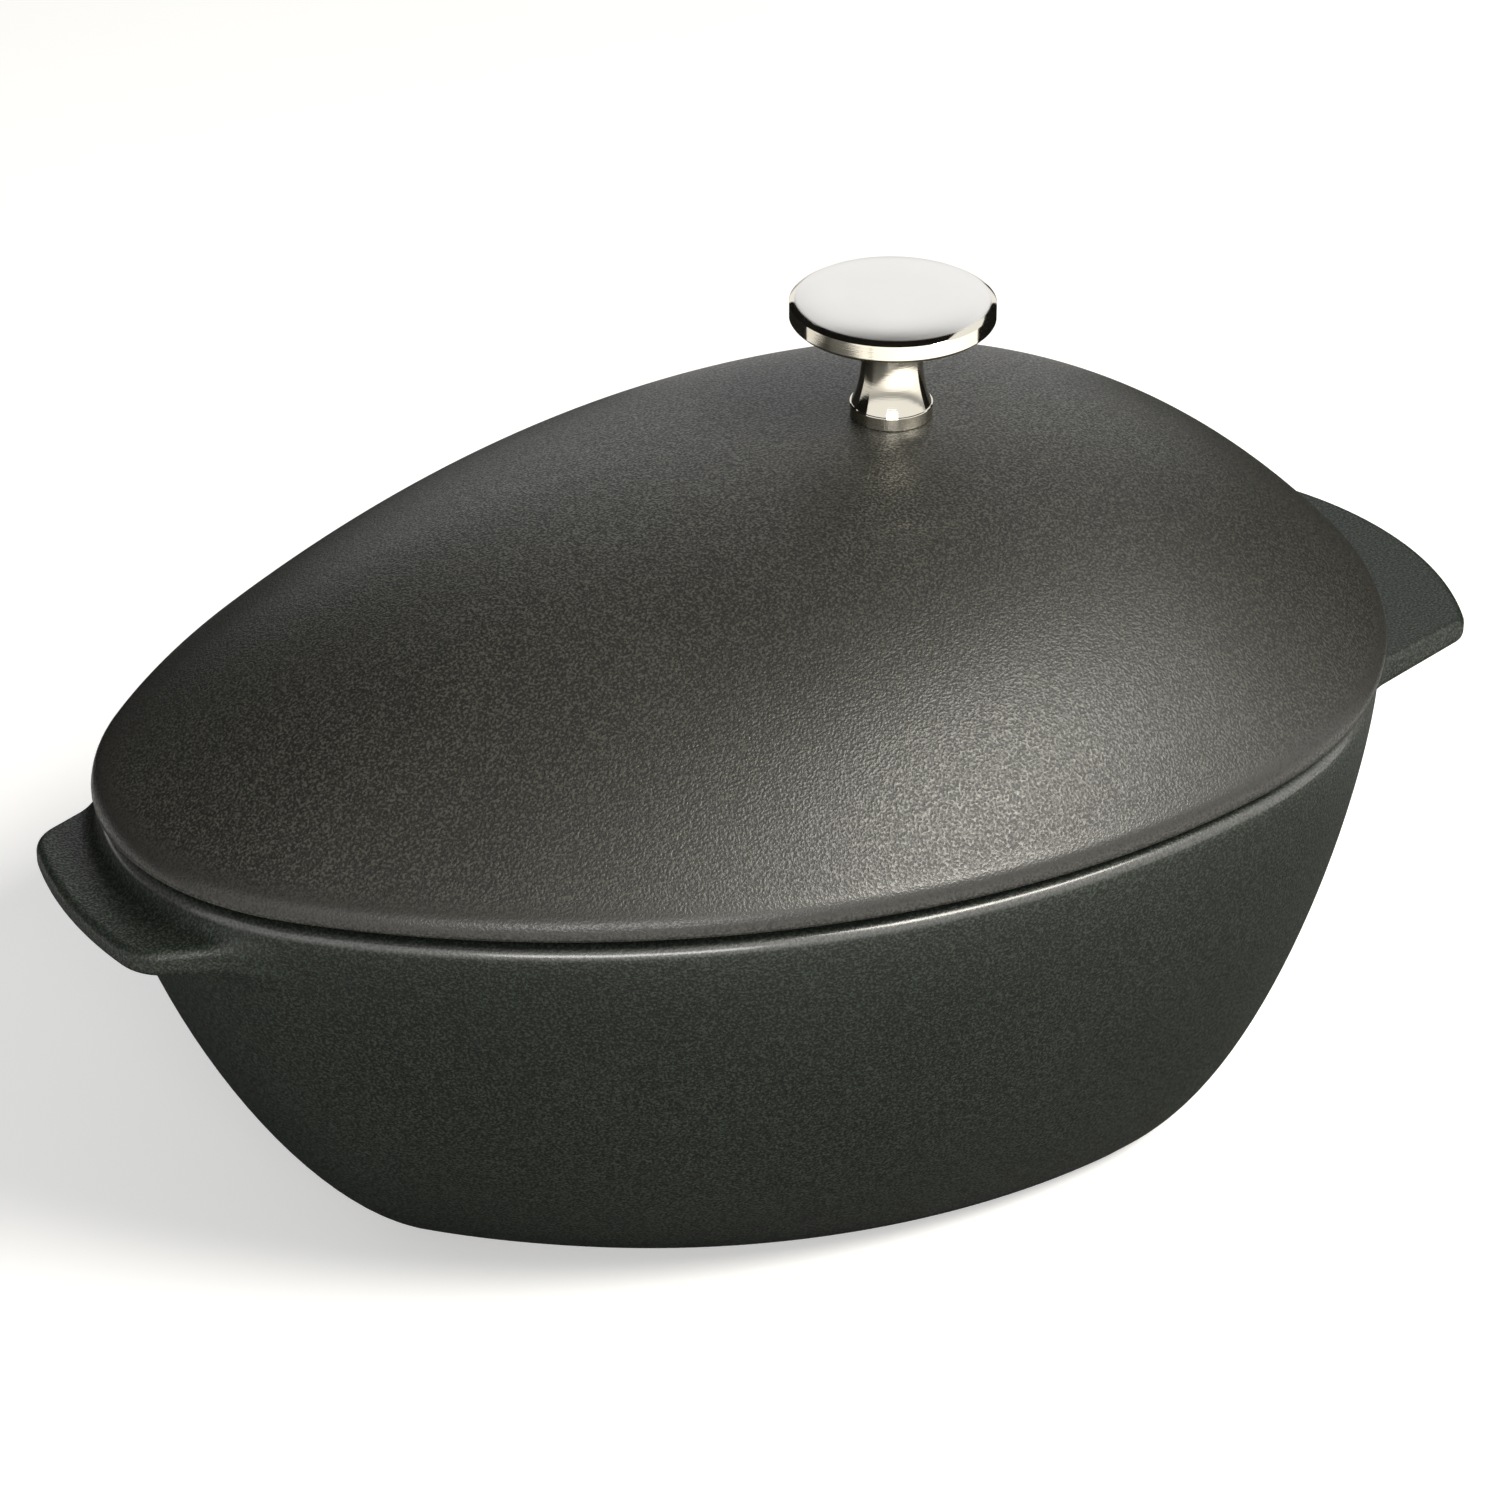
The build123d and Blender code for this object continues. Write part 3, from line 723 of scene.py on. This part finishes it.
def ceiling_rows(hollow, angle, inner):
    """The inner dome's rows from its foot up, held inside the skirt's hollow."""
    edge_x, edge_y = hollow.points(angle)
    x, y, z = (axis[::-1] for axis in inner)
    out = (x - edge_x) * np.cos(angle) + (y - edge_y) * np.sin(angle)
    over = np.maximum(out, 0)
    return x - over * np.cos(angle), y - over * np.sin(angle), z


def turned(profile):
    """A profile of (radius, height over the lid) rows turned round the knob's axis."""
    angle = np.arange(KNOB_COLUMNS) / KNOB_COLUMNS * 2 * pi
    radius, height = profile[:, :1], profile[:, 1:]
    return KNOB_X + radius * np.cos(angle), radius * np.sin(angle), KNOB_LOW.z + height + 0 * angle


def knob_profile(knob):
    """The knob's profile from the top of its tapped hole, down, round the stem and over the disc.

    The stem is two arcs that meet upright at the waist: an arc that leaves the waist upright and
    ends at a point has for radius half the squared distance over the sideways distance. The top
    falls from its middle with a power of the radius.
    """

    def stem(end_radius, end_height, count):
        """One of the stem's arcs, from the waist to a point."""
        across, along = end_radius - knob.waist, end_height - knob.waist_height
        radius = (across**2 + along**2) / (2 * across)
        heights = np.linspace(0, along, count)
        out = radius - np.sqrt(radius**2 - heights**2)
        return np.stack([knob.waist + out, knob.waist_height + heights], 1)

    soft = knob.breaking
    under, disc_top = knob.underside, knob.underside + knob.disc_thickness
    low_edge, high_edge = under + knob.under_bevel, disc_top - knob.bevel_drop
    inner_edge, shoulder = knob.disc - knob.under_bevel, knob.disc - knob.bevel
    across = shoulder * np.sin(np.linspace(pi / 2, 0, 32))
    crown = disc_top + knob.crown * (1 - (across / shoulder) ** knob.crown_power)
    lower = stem(knob.foot, knob.collar_height, 14)[::-1]
    upper = stem(knob.throat, knob.underside, 12)[1:]
    parts = [
        [(0, knob.tapped_depth), (knob.tapped, knob.tapped_depth), (knob.tapped, soft)],
        [(knob.tapped + soft, 0)],
        arc((knob.collar - soft, soft), soft, -90, 0, 3),
        arc((knob.collar - soft, knob.collar_height - soft), soft, 0, 90, 3),
        lower,
        upper,
        [(inner_edge - soft, under), (inner_edge, under + soft / 2)],
        [(knob.disc - soft / 2, low_edge), (knob.disc, low_edge + soft)],
        [(knob.disc, high_edge - soft), (knob.disc - soft, high_edge)],
        np.stack([across, crown], 1),
    ]
    return np.concatenate([np.asarray(part, float) for part in parts])


def enamel(name, colour, gloss, roughness, finishes, edge, low, high, glaze):
    """Matt enamel: a grain of small specks in tone, gloss and relief, under soft clouds.

    It is smoother along an edge band between two heights, where its colour turns paler as a painted
    highlight, and glazed there as far as asked.
    """
    weave = new_weave(name)
    place = weave.place()
    specks = weave.ramp(weave.noise(place, finishes.grain, 1.0), (0.33, 0.0), (0.67, 1.0))
    fine = weave.noise(place, finishes.grain * 0.55, 1.0)
    cloud = weave.noise(place, 0.035, 2.0)
    height = weave.node("ShaderNodeSeparateXYZ", {}, place)[2]
    across = (height - low) * (1 / (high - low))
    # Band between the two heights: a painted highlight in its colour, and smoother and glazed too
    painted_highlight_band = weave.ramp(across, (0.0, 0.0), (0.35, 1.0), (0.65, 1.0), (1.0, 0.0))
    mixed = specks * 0.6 + fine * 0.32 + cloud * 0.08
    dark, pale = tuple(c * 0.15 for c in colour), tuple(c * 4.0 for c in colour)
    tone = weave.ramp(mixed, (0.1, dark), (0.5, colour), (0.95, pale))
    rough = roughness + (0.5 - specks) * 0.2 + (cloud - 0.5) * 0.05
    return weave.finish(
        Base_Color=weave.blend(painted_highlight_band * (0.3 + specks * 0.7), tone, edge),
        Roughness=rough - painted_highlight_band * 0.08,
        Coat_Weight=painted_highlight_band * glaze,
        Coat_Roughness=0.16,
        Normal=weave.relief((specks * 0.6 + fine * 0.4) * (1 - painted_highlight_band * 0.4), finishes.relief),
        **{"Specular IOR Level": gloss},
    )


def turned_metal(name, satin, polished, roughness, shine, depth, top):
    """Turned metal: fine rings round the knob's axis, from noise of the radius and the height.

    It is satin from a height upwards and polished below it, each with its colour and roughness.
    """
    weave = new_weave(name)
    place = weave.node("ShaderNodeMapping", {}, weave.place(), (-KNOB_X, 0, -KNOB_LOW.z))[0]
    x, y, z = weave.node("ShaderNodeSeparateXYZ", {}, place)[:3]
    radius = (x * x + y * y).root()
    run = weave.node("ShaderNodeCombineXYZ", {}, radius, z * 1.7, 0.0)[0]
    rings = weave.noise(run, 0.00035, 2.0, 0.7)
    smudge = weave.noise(place, 0.006, 3.0)
    on_top = weave.ramp(z * (1 / top), (0.992, 0.0), (0.998, 1.0))
    tone = weave.blend(on_top, polished, satin)
    rough = on_top * (roughness - shine) + shine
    return weave.finish(
        Base_Color=tone,
        Metallic=1.0,
        Roughness=rough * (rings * 0.4 + smudge * 0.3 + 0.65),
        Normal=weave.relief(rings, depth),
    )


def rolled_steel(name, colour, grain, roughness):
    """Rolled sheet or bar: fine streaks along the length and soft cloudy wear."""
    weave = new_weave(name)
    place = weave.place()
    drawn_out = weave.node("ShaderNodeMapping", {}, place, Scale=(0.06, 1, 1))[0]
    streaks = weave.noise(drawn_out, grain, 2.0, 0.7)
    cloud = weave.noise(place, 0.012, 3.0)
    dull, clean = tuple(c * 0.9 for c in colour), tuple(min(c * 1.06, 1) for c in colour)
    tone = weave.blend(cloud, dull, clean)
    return weave.finish(
        Base_Color=tone,
        Metallic=1.0,
        Roughness=roughness + (streaks - 0.5) * 0.2 + (cloud - 0.5) * 0.12,
        Normal=weave.relief(streaks, 0.000012),
    )


def pale_floor():
    """A pale matt floor, with a glow that camera rays see and reflections see in part."""
    weave = new_weave("pale_floor")
    cloud = weave.noise(weave.place(), 0.5, 1.0)
    tone = weave.blend(cloud, (0.86, 0.86, 0.86), (0.88, 0.88, 0.88))
    matt = weave.node("ShaderNodeBsdfDiffuse", {}, tone)[0]
    glow = weave.node("ShaderNodeEmission", {}, (1, 1, 1, 1), 0.35)[0]
    both = weave.node("ShaderNodeAddShader", {}, matt, glow)[0]
    seen = weave.node("ShaderNodeLightPath", {})
    shown = (seen[0] + (seen[3] + seen[6]) * 0.3).clamped()
    return weave.show(weave.node("ShaderNodeMixShader", {}, shown, matt, both)[0])


def merged_copy(node, name, body, material):
    """A copy of a node's mesh in the node's place, its loose triangles joined: smooth, with its
    level faces flat."""
    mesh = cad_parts[node].data.copy()
    mesh.name = name
    form = bmesh.new()
    form.from_mesh(mesh)
    bmesh.ops.remove_doubles(form, verts=form.verts, dist=1e-6)
    bmesh.ops.dissolve_degenerate(form, edges=form.edges, dist=1e-6)
    form.to_mesh(mesh)
    form.free()
    mesh.materials.clear()
    shape = piece(name, mesh, body, node, material, 35)
    normals = np.empty(len(mesh.polygons) * 3)
    mesh.polygons.foreach_get("normal", normals)
    mesh.polygons.foreach_set("use_smooth", np.abs(normals[2::3]) < LEVEL)
    return shape


def settings(context):
    """The scene's groups of settings: pot, handles, lid, knob and finishes."""
    scene = context.scene
    shapes = scene.mussel_pot, scene.mussel_handles, scene.mussel_lid, scene.mussel_knob
    return *shapes, scene.mussel_finishes


class CastPot(bpy.types.Operator):
    """Casts the pot with its handles and enamels it"""

    bl_idname = "mussel.cast_pot"
    bl_label = "Cast the pot"

    def execute(self, context):
        pot, hold, _, _, finishes = settings(context)
        mesh = grid_mesh("pot_casting", *pot_grid(pot, hold, POT_HIGH.z))
        # The rim's band gets a paler colour as a painted highlight along its rounded edge, and a
        # glossy coat
        colour, edge = tuple(finishes.pot_enamel_and_painted_shade), tuple(finishes.rim_painted_highlight)
        # The pot's enamel is darker than the lid's, partly as painted shade on its walls
        material = enamel(
            "pot_enamel_and_painted_shade", colour, finishes.pot_gloss, finishes.pot_roughness, finishes, edge,
            low=POT_HIGH.z - 0.0023, high=POT_HIGH.z - 0.0004, glaze=1.0,
        )
        piece("pot_casting", mesh, "pot", "pot_body", material)
        return {"FINISHED"}


class CastLid(bpy.types.Operator):
    """Casts the lid and enamels it"""

    bl_idname = "mussel.cast_lid"
    bl_label = "Cast the lid"

    def execute(self, context):
        pot, _, lid, _, finishes = settings(context)
        mesh = grid_mesh("lid_casting", *lid_grid(pot, lid, POT_HIGH.z, KNOB_X), closed_down=True)
        # The flange band gets a paler colour as a painted highlight
        colour, edge = tuple(finishes.lid_enamel), tuple(finishes.lid_edge_painted_highlight)
        material = enamel(
            "lid_enamel", colour, finishes.lid_gloss, finishes.lid_roughness, finishes, edge,
            low=POT_HIGH.z + 0.0015, high=POT_HIGH.z + 0.0085, glaze=0.0,
        )
        piece("lid_casting", mesh, "lid_with_knob", "lid", material)
        return {"FINISHED"}


class TurnKnob(bpy.types.Operator):
    """Turns the knob and plates it"""

    bl_idname = "mussel.turn_knob"
    bl_label = "Turn the knob"

    def execute(self, context):
        _, _, _, knob, finishes = settings(context)
        mesh = grid_mesh("turned_knob", *turned(knob_profile(knob)))
        satin, polished = tuple(finishes.satin_nickel), tuple(finishes.nickel)
        material = turned_metal(
            "nickel_plate", satin, polished, roughness=0.34, shine=0.07, depth=0.000006,
            top=knob.underside + knob.disc_thickness,
        )
        piece("turned_knob", mesh, "lid_with_knob", "knob", material, 20)
        return {"FINISHED"}


class FitFasteners(bpy.types.Operator):
    """Finishes the screw and its two washers"""

    bl_idname = "mussel.fit_fasteners"
    bl_label = "Fit screw and washers"

    def execute(self, context):
        finishes = settings(context)[4]
        colour = tuple(finishes.steel)
        steel = turned_metal(
            "plated_steel", colour, colour, roughness=0.30, shine=0.30, depth=0.00001, top=1.0
        )
        for node in ("knob_screw", "plain_washer", "lock_washer"):
            dress(node, steel)
        return {"FINISHED"}


class PressStrainer(bpy.types.Operator):
    """Finishes the perforated strainer"""

    bl_idname = "mussel.press_strainer"
    bl_label = "Press the strainer"

    def execute(self, context):
        finishes = settings(context)[4]
        steel = rolled_steel("strainer_sheet", tuple(finishes.sheet), grain=0.0009, roughness=0.32)
        merged_copy("strainer_insert", "pressed_strainer", "strainer", steel)
        return {"FINISHED"}


def dress(node, material):
    """Gives a node that stays as it is a material of its own."""
    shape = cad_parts[node]
    shape.data.materials.clear()
    shape.data.materials.append(material)


class SetStage(bpy.types.Operator):
    """Lays the floor, hangs the lamps and cards, and sets up the camera"""

    bl_idname = "mussel.set_stage"
    bl_label = "Set the stage"

    def execute(self, context):
        studio = context.scene.mussel_studio
        lay_floor()
        light_room(context.scene, studio)
        for lamp in LAMPS:
            hang_lamp(*lamp)
        for card in CARDS:
            hang_card(*card)
        point_camera(context.scene, studio)
        context.scene.view_settings.view_transform = "Standard"
        return {"FINISHED"}


def lay_floor():
    """A level floor under the pot, wide enough to fill every view."""
    far = 6.0
    mesh = bpy.data.meshes.new("floor")
    corners = [(-far, -far, 0), (far, -far, 0), (far, far, 0), (-far, far, 0)]
    mesh.from_pydata(corners, [], [(0, 1, 2, 3)])
    mesh.materials.append(pale_floor())
    floor = bpy.data.objects.new("floor", mesh)
    bpy.context.scene.collection.objects.link(floor)


def light_room(scene, studio):
    """A room that is white to the camera and in reflections, and lights the object more softly."""
    weave = Weave(bpy.data.worlds.new("room"), "ShaderNodeOutputWorld")
    seen = weave.node("ShaderNodeLightPath", {})
    shown = (seen[0] + seen[3] + seen[6]).clamped()
    strength = shown * (1 - studio.sky) + studio.sky
    scene.world = weave.show(weave.node("ShaderNodeBackground", {}, (1, 1, 1, 1), strength)[0])


def facing_middle(place):
    """The turn that points an object's back, its -Z, from a place to the middle of the pot."""
    return (MIDDLE - Vector(place)).to_track_quat("-Z", "Y").to_euler()


def hang_lamp(name, place, width, height, power, colour):
    """A soft rectangular lamp that faces the pot."""
    lamp = bpy.data.lights.new(name, "AREA")
    lamp.shape = "RECTANGLE"
    lamp.size, lamp.size_y = width, height
    lamp.energy, lamp.color = power, colour
    holder = bpy.data.objects.new(name, lamp)
    holder.location, holder.rotation_euler = place, facing_middle(place)
    holder.visible_camera = False
    bpy.context.scene.collection.objects.link(holder)


def hang_card(name, place, width, height, grey):
    """A dark or grey card that only reflections show, as is put beside polished things."""
    mesh = bpy.data.meshes.new(name)
    x, y = width / 2, height / 2
    mesh.from_pydata([(-x, -y, 0), (x, -y, 0), (x, y, 0), (-x, y, 0)], [], [(0, 1, 2, 3)])
    weave = new_weave(name)
    matt = {"Specular IOR Level": 0.0}
    mesh.materials.append(weave.finish(Base_Color=(grey, grey, grey, 1), Roughness=1.0, **matt))
    card = bpy.data.objects.new(name, mesh)
    card.location, card.rotation_euler = place, facing_middle(place)
    card.visible_camera = card.visible_diffuse = False
    card.visible_transmission = card.visible_shadow = False
    bpy.context.scene.collection.objects.link(card)


def point_camera(scene, studio):
    """The camera, turned round the pot and raised as in the picture."""
    camera = bpy.data.cameras.new("camera")
    camera.lens, camera.sensor_width = studio.lens, 36
    target = Vector(studio.target)
    back = Vector(
        (
            np.sin(studio.turn) * np.cos(studio.elevation),
            -np.cos(studio.turn) * np.cos(studio.elevation),
            np.sin(studio.elevation),
        )
    )
    holder = bpy.data.objects.new("camera", camera)
    holder.location = target + back * studio.distance
    holder.rotation_euler = (-back).to_track_quat("-Z", "Y").to_euler()
    scene.collection.objects.link(holder)
    scene.camera = holder


class MusselPotPanel(bpy.types.Panel):
    """Lists the steps that make and light the pot"""

    bl_idname = "VIEW3D_PT_mussel_pot"
    bl_label = "Mussel pot"
    bl_space_type = "VIEW_3D"
    bl_region_type = "UI"
    bl_category = "Mussel pot"

    def draw(self, context):
        for step in STEPS:
            self.layout.operator(step.bl_idname)


GROUPS = {
    "mussel_pot": PotSizes,
    "mussel_handles": HandleSizes,
    "mussel_lid": LidSizes,
    "mussel_knob": KnobSizes,
    "mussel_finishes": Finishes,
    "mussel_studio": StudioSettings,
}
STEPS = (CastPot, CastLid, TurnKnob, FitFasteners, PressStrainer, SetStage)


def register():
    for kind in (*GROUPS.values(), *STEPS, MusselPotPanel):
        bpy.utils.register_class(kind)
    for name, group in GROUPS.items():
        setattr(bpy.types.Scene, name, PointerProperty(type=group))


def unregister():
    for name in GROUPS:
        delattr(bpy.types.Scene, name)
    for kind in reversed((*GROUPS.values(), *STEPS, MusselPotPanel)):
        bpy.utils.unregister_class(kind)


def main():
    """Makes every piece and the stage."""
    register()
    bpy.ops.mussel.cast_pot()
    bpy.ops.mussel.cast_lid()
    bpy.ops.mussel.turn_knob()
    bpy.ops.mussel.fit_fasteners()
    bpy.ops.mussel.press_strainer()
    bpy.ops.mussel.set_stage()


if __name__ == "__main__":
    main()
